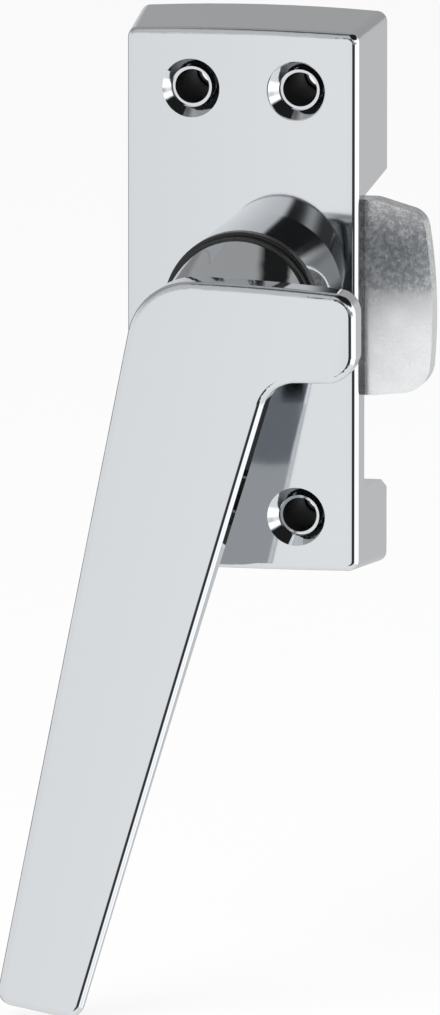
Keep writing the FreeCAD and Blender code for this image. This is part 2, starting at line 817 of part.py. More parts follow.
def make_plate_screws():
    """Two countersunk screws, one group, that hold the back plate to its posts."""
    screws = []
    for number, (x, y) in enumerate(PLATE_SCREW_PLACES):
        head = doc.addObject("Part::Cone", f"plate_screw_head_{number}")
        head.setExpression("Radius1", size.plate_head_radius.text)
        head.setExpression("Radius2", size.plate_screw_radius.text)
        head.setExpression("Height", size.plate_thickness.text)
        shank = doc.addObject("Part::Cylinder", f"plate_screw_shank_{number}")
        shank.setExpression("Radius", size.plate_screw_radius.text)
        shank.setExpression("Height", size.plate_screw_length.text)
        for item in (head, shank):
            item.setExpression("Placement.Base.x", x.text)
            item.setExpression("Placement.Base.y", y.text)
        screw = doc.addObject("Part::MultiFuse", f"plate_screw_{number}")
        screw.Shapes = [head, shank]
        screws.append(screw)
    group = doc.addObject("Part::Compound", "plate_screws")
    group.Label = "plate_screws"
    group.Links = screws
    group.Placement = App.Placement(Vector(0, 0, 0), STAND_UP)
    return group


def make_handle():
    """Chromed casting: flat head and tapering lever on a neck that is round at its base."""
    body = new_body("handle", neck_base)
    add_lever(body)
    add_neck(body)
    cut_handle_socket(body)
    return body


def add_lever(body):
    outline = new_sketch(body, "lever_outline", size.neck_height)
    top = size.head_above_axis
    left_slope = slope(size.lever_left_slant)
    right_slope = slope(size.lever_right_slant)
    tip_left = -(size.lever_length - size.lever_tip_rise)
    tip_right = -size.lever_length
    left_top = (-(size.lever_left_at_axis - left_slope * top), top)
    left_tip = (-(size.lever_left_at_axis - left_slope * tip_left), tip_left)
    right_tip = (size.lever_right_at_axis + right_slope * tip_right, tip_right)
    inner = (size.lever_right_at_axis - right_slope * size.head_below_axis, -size.head_below_axis)
    lower = (size.head_right_reach, -size.head_below_axis)
    upper = (size.head_right_reach, top - size.head_top_fall)
    bowed_upper = (*upper, size.head_top_bow)
    draw_outline(outline, [left_top, left_tip, right_tip, inner, lower, bowed_upper])
    feature(body, "Pad", "lever_plate", outline, size.head_thickness)
    corner_rounds = [
        ("head_left", left_top, size.head_left_round),
        ("head_upper", upper, size.head_upper_round),
        ("head_lower", lower, size.head_lower_round),
        ("head_inner", inner, size.head_inner_round),
        ("tip_left", left_tip, size.lever_tip_round),
        ("tip_right", right_tip, size.lever_tip_round),
    ]
    for name, (x, y), radius in corner_rounds:
        round_edges(body, name + "_corner", radius,
                    lambda edge, x=x, y=y: is_upright(edge) and near(edge, x, y))
    cut_lever_taper(body)
    crown_lever(body)
    round_lever_rims(body)


def cut_lever_taper(body):
    """Thin the lever towards its tip, from the back, along a gentle curve."""
    side = new_sketch(body, "lever_taper_outline", ZERO, plane="YZ_Plane")
    past_tip = -(size.lever_length + size.lever_tip_round)
    clear_of_back = size.neck_height - size.lever_tip_thickness
    corners = [
        (past_tip, clear_of_back),
        (-size.lever_full_until, clear_of_back),
        (-size.lever_full_until, size.neck_height, size.lever_back_bow),
        (past_tip, size.neck_height + size.head_thickness - size.lever_tip_thickness),
    ]
    draw_outline(side, corners)
    must_change(body, "lever taper", lambda: through_both(body, "lever_taper", side))


def crown_lever(body):
    """Cut the front to a very flat crown, which is highest along the middle of the lever."""
    crown = new_sketch(body, "lever_crown_outline", ZERO, plane="XZ_Plane")
    slant = size.handle_crown_slant
    across_lever = App.Rotation(Vector(0, -1, 0), slant.value)
    crown.AttachmentOffset = App.Placement(Vector(0, 0, 0), across_lever)
    crown.setExpression("AttachmentOffset.Rotation.Angle", f"{slant.text} * 1 deg")
    reach = size.handle_crown_reach
    front = size.neck_height + size.head_thickness
    edge_height = front - size.handle_crown
    past_front = front + size.handle_front_round
    corners = [
        (-reach, edge_height, -size.handle_crown),
        (reach, edge_height),
        (reach, past_front),
        (-reach, past_front),
    ]
    draw_outline(crown, corners)
    must_change(body, "lever crown", lambda: through_both(body, "lever_crown", crown))


def round_lever_rims(body):
    front_height = (size.neck_height + size.head_thickness).value
    crown_edge = front_height - size.handle_crown.value
    round_edges(body, "lever_front_rim", size.handle_front_round,
                lambda edge: edge.BoundBox.ZMin > crown_edge - CLOSE_BY)
    back_rim_top = front_height - size.lever_tip_thickness.value + size.lever_back_bow.value
    round_edges(body, "lever_back_rim", size.handle_back_round,
                lambda edge: is_back_rim(edge, back_rim_top))


def is_back_rim(edge, top):
    """True for the rim round the lever's back, not for the line where its taper starts."""
    box = edge.BoundBox
    starts_taper = box.YLength < SAME_PLACE and abs(box.YMin + size.lever_full_until.value) < CLOSE_BY
    return box.ZMax < top and not is_upright(edge) and not starts_taper


def add_neck(body):
    """Neck: a circle on the slide washer that flattens to the head's height."""
    base = new_sketch(body, "neck_base_outline")
    draw_circle(base, ZERO, ZERO, size.neck_radius)
    crown_height = size.neck_height + size.handle_back_round + size.loose_gap
    crown = new_sketch(body, "neck_crown_outline", crown_height)
    draw_ellipse(crown, size.neck_radius, (size.head_above_axis + size.head_below_axis) / 2,
                 (size.head_above_axis - size.head_below_axis) / 2)
    must_change(body, "neck", lambda: loft(body, "AdditiveLoft", "neck", base, crown))
    journal = new_sketch(body, "journal_outline")
    draw_circle(journal, ZERO, ZERO, size.journal_radius)
    feature(body, "Pad", "journal", journal, neck_base - journal_end, turned=True)


def draw_ellipse(sketch, half_x, half_y, centre_y):
    """An ellipse that is wider than it is high, centred above the origin."""
    centre = Vector(0, centre_y.value, 0)
    wide = Vector(half_x.value, centre_y.value, 0)
    high = Vector(0, centre_y.value + half_y.value, 0)
    curve = sketch.addGeometry(Part.Ellipse(wide, high, centre))
    sketch.exposeInternalGeometry(curve)
    pin_point(sketch, curve, 3, ZERO, centre_y)
    major = curve + 1
    minor = curve + 2
    sketch.addConstraint(Sketcher.Constraint("Horizontal", major))
    bind(sketch, "Distance", major, half_x * 2)
    bind(sketch, "Distance", minor, half_y * 2)


def cut_handle_socket(body):
    depth = neck_base - journal_end
    socket = new_sketch(body, "socket_outline", -depth)
    draw_box(socket, -half_square_hole, half_square_hole, -half_square_hole, half_square_hole)
    reach = depth + size.spindle_in_neck + size.loose_gap
    must_change(body, "spindle socket",
                lambda: feature(body, "Pocket", "spindle_socket", socket, reach, turned=True))
    pin_hole = new_sketch(body, "handle_pin_hole", ZERO, plane="XZ_Plane")
    draw_circle(pin_hole, ZERO, size.pin_from_neck_base, size.pin_radius + size.fit_gap)
    must_change(body, "pin hole", lambda: pin_pockets(body, pin_hole))


def pin_pockets(body, profile):
    """Blind on top, open at the underside of the neck."""
    feature(body, "Pocket", "pin_way_below", profile, size.neck_radius * 2, turned=True)
    return feature(body, "Pocket", "pin_way_above", profile, pin_top + size.loose_gap)


def make_handle_pin():
    """Cross pin through the neck and the spindle, driven in from the underside."""
    pin = doc.addObject("Part::Cylinder", "handle_pin")
    pin.Label = "handle_pin"
    pin.setExpression("Radius", size.pin_radius.text)
    pin.setExpression("Height", size.pin_length.text)
    pin.setExpression("Placement.Base.y", (-pin_middle).text)
    pin.setExpression("Placement.Base.z", (pin_top - size.pin_length).text)
    return pin


pieces = [
    make_housing(),
    make_bearing_bush(),
    make_disc("slide_washer", neck_base - size.slide_washer_thickness, size.slide_washer_thickness,
              size.slide_washer_radius, size.journal_radius + size.running_gap),
    make_handle(),
    make_handle_pin(),
    make_spindle(),
    make_wave_washer(),
    make_disc("thrust_washer", thrust_back, size.thrust_washer_thickness, size.thrust_washer_radius),
    make_tongue(),
    make_disc("spacer_sleeve", sleeve_back, sleeve_length, size.sleeve_radius),
    make_detent_cam(),
    make_leaf_spring("detent_spring_left", -1),
    make_leaf_spring("detent_spring_right", 1),
    make_disc("end_washer", end_washer_back, size.end_washer_thickness, size.end_washer_radius,
              size.spigot_radius + size.fit_gap),
    make_retaining_ring(),
    make_back_plate(),
    make_plate_screws(),
]
doc.recompute()

for item in doc.Objects:
    if "Invalid" in item.State or "Error" in item.State:
        raise RuntimeError(f"{item.Label} failed: {item.State}")
for piece in pieces:
    if piece.Shape.isNull() or not piece.Shape.isValid():
        raise RuntimeError(f"{piece.Label} has no valid shape")

os.makedirs("parts", exist_ok=True)
for piece in pieces:
    piece.Shape.exportStep(f"parts/{piece.Label}.step")
    box = piece.Shape.BoundBox
    print(f"{piece.Label}: {piece.Shape.Volume:.1f} mm3, {len(piece.Shape.Solids)} solid(s), "
          f"x {box.XMin:.2f}..{box.XMax:.2f}, y {box.YMin:.2f}..{box.YMax:.2f}, "
          f"z {box.ZMin:.2f}..{box.ZMax:.2f}")
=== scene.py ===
"""Window fastener in a soft studio: chrome-plated castings, a black nylon bush and a zinc-plated tongue.

Metres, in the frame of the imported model: +X right, +Z up, and the front faces -Y.
"""
import json
import math

import bmesh
import bpy
from bpy.props import FloatProperty, FloatVectorProperty, PointerProperty, StringProperty
from mathutils import Matrix, Vector


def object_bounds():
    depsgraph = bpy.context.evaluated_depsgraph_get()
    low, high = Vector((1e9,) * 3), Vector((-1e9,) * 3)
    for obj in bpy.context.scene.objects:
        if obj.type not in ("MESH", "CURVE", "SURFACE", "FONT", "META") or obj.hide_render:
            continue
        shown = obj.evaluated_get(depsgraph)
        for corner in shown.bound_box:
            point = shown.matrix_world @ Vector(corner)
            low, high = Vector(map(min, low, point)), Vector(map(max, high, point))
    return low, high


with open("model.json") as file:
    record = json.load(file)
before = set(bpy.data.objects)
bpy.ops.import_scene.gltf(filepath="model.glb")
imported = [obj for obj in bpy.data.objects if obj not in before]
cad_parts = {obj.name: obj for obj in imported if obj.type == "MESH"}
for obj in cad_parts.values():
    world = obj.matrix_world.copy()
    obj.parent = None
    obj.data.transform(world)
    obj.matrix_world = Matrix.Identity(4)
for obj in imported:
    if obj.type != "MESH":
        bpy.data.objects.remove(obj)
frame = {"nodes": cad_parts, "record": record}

bl_info = {
    "name": "Window fastener",
    "version": (1, 0, 0),
    "blender": (4, 5, 0),
    "location": "3D View > Sidebar > Fastener",
    "description": "Finishes for a chromed window fastener, and a soft studio to see it in",
    "category": "Object",
}

MM = 0.001
CAD_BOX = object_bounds()
PHOTO_SIZE = (440, 1015)
WHITE = (1.0, 1.0, 1.0, 1.0)
STUDIO_RAYS = ("Is Camera Ray", "Is Glossy Ray", "Is Transmission Ray")


class FinishColours(bpy.types.PropertyGroup):
    """Colours of the real materials, and of the shade painted into the screw bores and the reflection
    painted on the tongue, as sRGB hex values.
    """

    chrome: StringProperty(
        name="Chrome", description="Bright chromium plate, which is faintly blue", default="#D2D5D8")
    # Painted shade: near-black, standing in for the shadow deep in the screw bores
    bore_shade_colour: StringProperty(
        name="Bare zinc", description="Casting where the plating bath doesn't reach", default="#1B1C1D")
    nylon: StringProperty(name="Nylon", description="Black moulded nylon", default="#101011")
    zinc_plate: StringProperty(
        name="Zinc plate", description="Zinc-plated steel, where it is clear", default="#EFF0F1")
    # Darker blooms, and also the painted reflection of the handle's head that darkens the tongue's upper
    # part
    zinc_stain_and_reflection: StringProperty(
        name="Zinc stain", description="Darker blooms in the zinc plate", default="#ABAEB1")
    passivated: StringProperty(
        name="Passivated zinc", description="Zinc on the back plate, where it is clear", default="#ACAFB2")
    passivated_stain: StringProperty(
        name="Passivated stain", description="Darker blooms on the back plate", default="#84888B")
    bright_steel: StringProperty(
        name="Bright steel", description="Turned or drawn steel, oiled", default="#A9ABAD")
    spring_steel: StringProperty(
        name="Spring steel", description="Hardened strip, tempered dark", default="#6E7073")
    floor: StringProperty(name="Floor", description="Pale studio floor", default="#F2F2F1")


class FinishSizes(bpy.types.PropertyGroup):
    """How coarse the finishes are."""

    chrome_gloss: FloatProperty(
        name="Chrome roughness", description="Buffed and plated, almost a mirror", default=0.04,
        min=0.0, max=1.0, subtype="FACTOR")
    buffing_wave: FloatProperty(
        name="Buffing wave", description="Distance between the soft waves left by buffing",
        default=9.0 * MM, subtype="DISTANCE", unit="LENGTH")
    buffing_depth: FloatProperty(
        name="Buffing depth", description="Height of those waves", default=0.0012 * MM,
        subtype="DISTANCE", unit="LENGTH")
    nylon_grain: FloatProperty(
        name="Nylon grain", description="Spark-eroded grain of the mould, drawn coarse enough to show",
        default=0.25 * MM, subtype="DISTANCE", unit="LENGTH")
    zinc_bloom: FloatProperty(
        name="Zinc bloom", description="Width of the blooms in the zinc plate", default=0.9 * MM,
        subtype="DISTANCE", unit="LENGTH")
    brush_line: FloatProperty(
        name="Brush line", description="Distance between turning lines, drawn coarse enough to show",
        default=0.3 * MM, subtype="DISTANCE", unit="LENGTH")


class StudioSettings(bpy.types.PropertyGroup):
    """Camera and light."""

    azimuth: FloatProperty(
        name="Azimuth", description="How far the camera stands to the right of the front",
        default=math.radians(11.57), subtype="ANGLE")
    elevation: FloatProperty(
        name="Elevation", description="How far the camera looks down", default=math.radians(10.08),
        subtype="ANGLE")
    pixels_per_mm: FloatProperty(
        name="Pixels per mm", description="Scale of the photograph at the object", default=6.65)
    origin_pixel: FloatVectorProperty(
        name="Origin pixel", description="Where the part's origin lies in the photograph", size=2,
        default=(290.5, 268.4))
    distance: FloatProperty(
        name="Distance", description="Camera distance, long enough to look almost parallel", default=3.0,
        subtype="DISTANCE", unit="LENGTH")
    scale_plane: FloatProperty(
        name="Scale plane", description="How far in front of the origin the scale holds", default=9.0 * MM,
        subtype="DISTANCE", unit="LENGTH")
    key_power: FloatProperty(
        name="Key power", description="Power of the large lamp above the front", default=8.8,
        subtype="POWER", unit="POWER")
    fill_power: FloatProperty(
        name="Fill power", description="Power of the lamp to the right", default=4.4,
        subtype="POWER", unit="POWER")
    softbox_width: FloatProperty(
        name="Softbox width", description="Side of each square lamp", default=0.8,
        subtype="DISTANCE", unit="LENGTH")
    floor_width: FloatProperty(
        name="Floor width", description="Side of the square floor", default=8.0,
        subtype="DISTANCE", unit="LENGTH")


class FastenerSettings(bpy.types.PropertyGroup):
    """Everything about the fastener's looks that a user would change."""

    colours: PointerProperty(type=FinishColours)
    sizes: PointerProperty(type=FinishSizes)
    studio: PointerProperty(type=StudioSettings)


def colour(hex_value):
    """Linear colour with alpha from an sRGB hex value."""
    channels = [int(hex_value[place:place + 2], 16) / 255 for place in (1, 3, 5)]
    linear = [part / 12.92 if part <= 0.04045 else ((part + 0.055) / 1.055) ** 2.4 for part in channels]
    return (*linear, 1.0)


def add_node(tree, kind, inputs=None, **settings):
    """One shader node with its settings. An input that is given a socket is linked, any other is set."""
    node = tree.nodes.new("ShaderNode" + kind)
    for name, value in settings.items():
        setattr(node, name, value)
    for name, value in (inputs or {}).items():
        if isinstance(value, bpy.types.NodeSocket):
            tree.links.new(value, node.inputs[name])
        else:
            node.inputs[name].default_value = value
    return node


def new_material(name):
    """An empty node material and its tree."""
    material = bpy.data.materials.new(name)
    material.use_nodes = True
    material.node_tree.nodes.clear()
    return material, material.node_tree


def finish_material(tree, surface):
    """Put this surface on the material."""
    add_node(tree, "OutputMaterial", {"Surface": surface})


def dress(material, *nodes):
    """Give CAD nodes a finish in place of the plain one that they are packed with."""
    for name in nodes:
        obj = frame["nodes"][name]
        obj.data.materials.clear()
        obj.data.materials.append(material)


def place_of(tree):
    """Object coordinates, in metres."""
    return add_node(tree, "TexCoord").outputs["Object"]


def noise(tree, place, width, detail=2.0, roughness=0.5):
    """Fractal noise whose features are this wide."""
    return add_node(tree, "TexNoise", {
        "Vector": place, "Scale": 1 / width, "Detail": detail, "Roughness": roughness,
    }).outputs["Fac"]


def spread(tree, value, low, high, new_low, new_high):
    """Stretch one range of a value over another, smoothly."""
    return add_node(tree, "MapRange", {
        "Value": value, "From Min": low, "From Max": high, "To Min": new_low, "To Max": new_high,
    }, interpolation_type="SMOOTHSTEP").outputs["Result"]


def combine(tree, operation, first, second=0.0):
    """One step of arithmetic. Some operations need only the first value."""
    return add_node(tree, "Math", {0: first, 1: second}, operation=operation).outputs["Value"]


# Most of a noise's values lie between these
NOISE_RANGE = (0.3, 0.7)

# Round each screw's axis, and from this far back, shade is painted into the bores
SHADE_RADIUS = 2.75 * MM
SHADE_FROM = -17.68 * MM
SHADE_EDGE = 0.05 * MM


def screw_places():
    """Centres of the screw holes, from the mounts in the record."""
    places = []
    for mount in frame["record"]["mounts"]:
        if mount["kind"] != "bolt_pattern":
            continue
        x, _, z = mount["pos_m"]
        half_x = mount["dims"].get("spacing_x_mm", 0.0) * MM / 2
        half_z = mount["dims"].get("spacing_y_mm", 0.0) * MM / 2
        places += [(x - half_x, z - half_z), (x + half_x, z + half_z)]
    return places


def painted_shade_mask(tree, place):
    """1 in the screw bores past their countersunk seats, where shade is painted, and 0 on the outside."""
    axes = add_node(tree, "SeparateXYZ", {"Vector": place})
    x, depth, height = (axes.outputs[axis] for axis in "XYZ")
    deep = spread(tree, depth, SHADE_FROM, SHADE_FROM + SHADE_EDGE, 0.0, 1.0)
    mask = 0.0
    for centre_x, centre_z in screw_places():
        across = combine(tree, "SUBTRACT", x, centre_x)
        along = combine(tree, "SUBTRACT", height, centre_z)
        squared = combine(tree, "ADD", combine(tree, "MULTIPLY", across, across),
                          combine(tree, "MULTIPLY", along, along))
        bore = combine(tree, "LESS_THAN", squared, SHADE_RADIUS ** 2)
        mask = combine(tree, "MAXIMUM", mask, bore)
    return combine(tree, "MULTIPLY", mask, deep)


def shade_bores_of(tree, settings, place, plated):
    """The plated surface, but with painted shade in the screw bores: near-black and dull."""
    shade_bsdf = add_node(tree, "BsdfPrincipled", {
        "Base Color": colour(settings.colours.bore_shade_colour), "Metallic": 0.6, "Roughness": 0.7,
    }).outputs["BSDF"]
    return add_node(tree, "MixShader", {0: painted_shade_mask(tree, place), 1: plated, 2: shade_bsdf}).outputs["Shader"]


# Handled chrome is smeared in patches this many times as wide as the buffing waves, and rougher by as much
SMEAR_WIDTH = 2
SMEAR_RANGE = (0.35, 0.75)
SMEAR_ROUGHER = 1.6


def polished_chrome(settings, name, shade_in_bores=False):
    """Zinc die casting, buffed and chrome plated: a hard mirror with faint waves from the buffing wheel."""
    material, tree = new_material(name)
    place = place_of(tree)
    gloss = settings.sizes.chrome_gloss
    wave = noise(tree, place, settings.sizes.buffing_wave, detail=1.0)
    smear = noise(tree, place, settings.sizes.buffing_wave * SMEAR_WIDTH, detail=3.0)
    shine = spread(tree, smear, *SMEAR_RANGE, gloss, gloss * SMEAR_ROUGHER)
    bump = add_node(tree, "Bump", {
        "Strength": 1.0, "Distance": settings.sizes.buffing_depth, "Height": wave,
    })
    plated = add_node(tree, "BsdfPrincipled", {
        "Base Color": colour(settings.colours.chrome), "Metallic": 1.0, "Roughness": shine,
        "Normal": bump.outputs["Normal"],
    }).outputs["BSDF"]
    # With shade_in_bores set, shade is painted into the screw bores as a near-black dull surface
    finish_material(tree, shade_bores_of(tree, settings, place, plated) if shade_in_bores else plated)
    return material


NYLON_ROUGHNESS = (0.26, 0.4)


def moulded_nylon(settings):
    """Black nylon from a spark-eroded mould: a soft satin that still shows a line of light on its rims."""
    material, tree = new_material("moulded_black_nylon")
    place = place_of(tree)
    grain = noise(tree, place, settings.sizes.nylon_grain, detail=2.0)
    bump = add_node(tree, "Bump", {"Strength": 0.35, "Distance": 0.01 * MM, "Height": grain})
    satin = spread(tree, grain, *NOISE_RANGE, *NYLON_ROUGHNESS)
    finish_material(tree, add_node(tree, "BsdfPrincipled", {
        "Base Color": colour(settings.colours.nylon), "Roughness": satin, "IOR": 1.53,
        "Normal": bump.outputs["Normal"],
    }).outputs["BSDF"])
    return material


# Zinc shows crystals, blooms and clouds. Widths of the crystals and clouds, in blooms, and the blooms' share
CRYSTAL_WIDTH = 0.25
CLOUD_WIDTH = 5
BLOOM_SHARE = 0.6
MOTTLE_RANGE = (0.42, 0.62)

# Its roughness from cloud to cloud, what a bloom adds to that, and how high crystals stand beside blooms
ZINC_ROUGHNESS = (0.17, 0.21)
BLOOM_ROUGHER = 0.1
CRYSTAL_HEIGHT = 0.5

# How clear the zinc is between its blooms: on a plain piece, and below and above the line of a painted
# reflection of the handle's head, which makes it darker above
CLEAR_PLAIN = 0.6
CLEAR_UNDER_REFLECTION = 0.85
CLEAR_IN_REFLECTION = 0.25

# Height of that line, how softly it fades and how far it wavers
REFLECTION_LINE = -0.5 * MM
REFLECTION_FADE = 1.5 * MM
REFLECTION_WAVER = 1.0 * MM


def zinc_plated_steel(settings, name, clear_hex, stain_and_reflection_hex, painted_head_reflection=False):
    """Blanked steel plate, barrel plated with zinc: pale, cloudy, with fine crystals and tumbling marks.

    With the painted reflection, the zinc is painted darker above a line, standing in for the blurred
    reflection of the handle's head.
    """
    material, tree = new_material(name)
    place = place_of(tree)
    bloom = noise(tree, place, settings.sizes.zinc_bloom, detail=5.0, roughness=0.65)
    crystal = noise(tree, place, settings.sizes.zinc_bloom * CRYSTAL_WIDTH, detail=3.0, roughness=0.7)
    cloud = noise(tree, place, settings.sizes.zinc_bloom * CLOUD_WIDTH, detail=2.0)
    mottle = combine(tree, "ADD", combine(tree, "MULTIPLY", bloom, BLOOM_SHARE),
                     combine(tree, "MULTIPLY", crystal, 1 - BLOOM_SHARE))
    clear = CLEAR_PLAIN
    # Above the line the zinc is painted darker: a painted reflection of the handle's head
    if painted_head_reflection:
        height = add_node(tree, "SeparateXYZ", {"Vector": place}).outputs["Z"]
        edge = combine(tree, "ADD", height, combine(tree, "MULTIPLY", cloud, REFLECTION_WAVER))
        clear = spread(tree, edge, REFLECTION_LINE, REFLECTION_LINE + REFLECTION_FADE, CLEAR_UNDER_REFLECTION, CLEAR_IN_REFLECTION)
    clearness = spread(tree, mottle, *MOTTLE_RANGE, clear, 1.0)
    tint = add_node(tree, "Mix", {
        0: clearness, 6: colour(stain_and_reflection_hex), 7: colour(clear_hex),
    }, data_type="RGBA").outputs[2]
    roughness = combine(tree, "ADD", spread(tree, cloud, *NOISE_RANGE, *ZINC_ROUGHNESS),
                        combine(tree, "MULTIPLY", bloom, BLOOM_ROUGHER))
    relief = combine(tree, "ADD", bloom, combine(tree, "MULTIPLY", crystal, CRYSTAL_HEIGHT))
    bump = add_node(tree, "Bump", {"Strength": 0.6, "Distance": 0.006 * MM, "Height": relief})
    plated = add_node(tree, "BsdfPrincipled", {
        "Base Color": tint, "Metallic": 1.0, "Roughness": roughness, "Normal": bump.outputs["Normal"],
    }).outputs["BSDF"]
    # Shade is painted into the screw bores here too
    finish_material(tree, shade_bores_of(tree, settings, place, plated))
    return material


# Drawing lines are this much longer than wide, and their roughness differs by these shares
LINE_STRETCH = 10
LINE_ROUGHNESS = (0.8, 1.2)


def drawn_steel(settings, name, hex_value, roughness):
    """Drawn or turned steel: fine lines along the depth, under a film of oil."""
    material, tree = new_material(name)
    place = place_of(tree)
    scale = (1.0, 1 / LINE_STRETCH, 1.0)
    stretched = add_node(tree, "Mapping", {"Vector": place, "Scale": scale}).outputs["Vector"]
    smoothest, roughest = (roughness * share for share in LINE_ROUGHNESS)
    lines = noise(tree, stretched, settings.sizes.brush_line, detail=2.0)
    bump = add_node(tree, "Bump", {"Strength": 0.4, "Distance": 0.01 * MM, "Height": lines})
    finish_material(tree, add_node(tree, "BsdfPrincipled", {
        "Base Color": colour(hex_value), "Metallic": 1.0,
        "Roughness": spread(tree, lines, *NOISE_RANGE, smoothest, roughest),
        "Normal": bump.outputs["Normal"],
    }).outputs["BSDF"])
    return material


class FASTENER_OT_housing(bpy.types.Operator):
    """Chrome the housing, with shade painted into its screw bores"""
    bl_idname = "fastener.housing"
    bl_label = "Housing"

    def execute(self, context):
        settings = context.scene.window_fastener
        dress(polished_chrome(settings, "housing_polished_chrome", shade_in_bores=True), "housing")
        return {"FINISHED"}


class FASTENER_OT_handle(bpy.types.Operator):
    """Chrome the lever handle"""
    bl_idname = "fastener.handle"
    bl_label = "Handle"

    def execute(self, context):
        settings = context.scene.window_fastener
        dress(polished_chrome(settings, "handle_polished_chrome"), "handle")
        return {"FINISHED"}


class FASTENER_OT_black_ring(bpy.types.Operator):
    """Finish the nylon bush and the washer that the handle slides on"""
    bl_idname = "fastener.black_ring"
    bl_label = "Bush and slide washer"

    def execute(self, context):
        dress(moulded_nylon(context.scene.window_fastener), "bearing_bush", "slide_washer")
        return {"FINISHED"}


class FASTENER_OT_tongue(bpy.types.Operator):
    """Finish the zinc-plated tongue, back plate and plate screws"""
    bl_idname = "fastener.tongue"
    bl_label = "Tongue and back plate"

    def execute(self, context):
        settings = context.scene.window_fastener
        colours = settings.colours
        # The tongue's upper part is painted darker: a painted reflection of the handle's head
        plated = zinc_plated_steel(
            settings, "zinc_plated_steel", colours.zinc_plate, colours.zinc_stain_and_reflection, painted_head_reflection=True)
        dress(plated, "tongue")
        dulled = zinc_plated_steel(
            settings, "passivated_zinc_plated_steel", colours.passivated, colours.passivated_stain)
        dress(dulled, "back_plate", "plate_screws")
        return {"FINISHED"}


class FASTENER_OT_works(bpy.types.Operator):
    """Finish the steel pieces inside the housing"""
    bl_idname = "fastener.works"
    bl_label = "Spindle, cam and springs"

    def execute(self, context):
        settings = context.scene.window_fastener
        bright = drawn_steel(settings, "bright_drawn_steel", settings.colours.bright_steel, 0.28)
        spring = drawn_steel(settings, "tempered_spring_steel", settings.colours.spring_steel, 0.35)
        dress(bright, "spindle", "handle_pin", "thrust_washer", "spacer_sleeve", "detent_cam", "end_washer")
        dress(spring, "wave_washer", "detent_spring_left", "detent_spring_right", "retaining_ring")
        return {"FINISHED"}


def view_axes(azimuth, elevation):
    """Directions to the right, up and towards the camera."""
    right = Vector((math.cos(azimuth), math.sin(azimuth), 0))
    towards = Vector((
        math.sin(azimuth) * math.cos(elevation),
        -math.cos(azimuth) * math.cos(elevation),
        math.sin(elevation),
    ))
    return right, towards.cross(right), towards


def add_camera(studio):
    """Long lens at the photograph's angle, framed so that the origin falls on its pixel."""
    right, up, towards = view_axes(studio.azimuth, studio.elevation)
    metres_per_pixel = MM / studio.pixels_per_mm
    from_origin_x = (PHOTO_SIZE[0] / 2 - studio.origin_pixel[0]) * metres_per_pixel
    from_origin_y = (studio.origin_pixel[1] - PHOTO_SIZE[1] / 2) * metres_per_pixel
    centre = right * from_origin_x + up * from_origin_y + towards * studio.scale_plane
    camera = bpy.data.objects.new("camera", bpy.data.cameras.new("camera"))
    camera.data.lens = camera.data.sensor_width * studio.distance / (PHOTO_SIZE[1] * metres_per_pixel)
    camera.data.clip_end = studio.distance * 4
    camera.location = centre + towards * studio.distance
    camera.rotation_euler = towards.to_track_quat("Z", "Y").to_euler()
    bpy.context.scene.collection.objects.link(camera)
    bpy.context.scene.camera = camera


def is_studio_ray(tree):
    """1 for a ray that shows the studio itself: straight from the camera, or by a mirror or glass."""
    light_path = add_node(tree, "LightPath")
    seen = None
    for name in STUDIO_RAYS:
        ray = light_path.outputs[name]
        seen = ray if seen is None else combine(tree, "MAXIMUM", seen, ray)
    return seen


# What a mirror sees round the object: soft-edged patches, painted over each other in this order.
# Degrees: azimuth from the front to the right, elevation, half width, half height, softness. Then the light.
CARDS = {
    "front_wall": (23, -45, 37, 50, 15, 1.096),
    "upper_wall": (0, 90, 180, 68, 15, 0.408),
    "upper_front": (-20, 40, 48, 28, 12, 0.68),
    "ceiling": (0, 90, 180, 14, 8, 0.088),
    "back_wall": (180, -25, 32, 28, 6, 0.632),
    "back_upper": (180, 40, 40, 37, 6, 0.424),
    "left_gloom": (-137, -8, 20, 34, 5, 0.288),
    "side_softbox": (98, -3, 50, 27, 4, 1.6),
    "right_gloom": (92, 52, 72, 28, 5, 0.016),
    "front_slit": (24, -10, 22, 18, 4, 0.048),
    "overhead_slit": (8, 15.5, 10, 6.5, 1.5, 0.016),
    "corner_slit": (15, 9.5, 5, 3, 1.5, 0.016),
    "horizon": (46, 0, 31, 6, 3, 0.392),
}

# Light where there is no card, and what matt surfaces get from all sides
OPEN_LIGHT = 1.016
MATT_LIGHT = 0.64


def studio_light(tree):
    """Light that a mirror sees in each direction."""
    direction = add_node(tree, "TexCoord").outputs["Generated"]
    axes = add_node(tree, "SeparateXYZ", {"Vector": direction})
    away = combine(tree, "MULTIPLY", axes.outputs["Y"], -1.0)
    azimuth = combine(tree, "ARCTAN2", axes.outputs["X"], away)
    elevation = combine(tree, "ARCSINE", axes.outputs["Z"])
    light = OPEN_LIGHT
    for azimuth_at, elevation_at, half_width, half_height, softness, strength in CARDS.values():
        soft = math.radians(softness)
        inside = 1.0
        spans = ((azimuth, azimuth_at, half_width), (elevation, elevation_at, half_height))
        for angle, middle, half in spans:
            turn = combine(tree, "SUBTRACT", angle, math.radians(middle))
            wrapped = combine(tree, "PINGPONG", combine(tree, "ABSOLUTE", turn), math.pi)
            reach = math.radians(half)
            edge = spread(tree, wrapped, reach - soft, reach + soft, 1.0, 0.0)
            inside = combine(tree, "MULTIPLY", inside, edge)
        light = add_node(tree, "Mix", {0: inside, 2: light, 3: strength}).outputs[0]
    return light


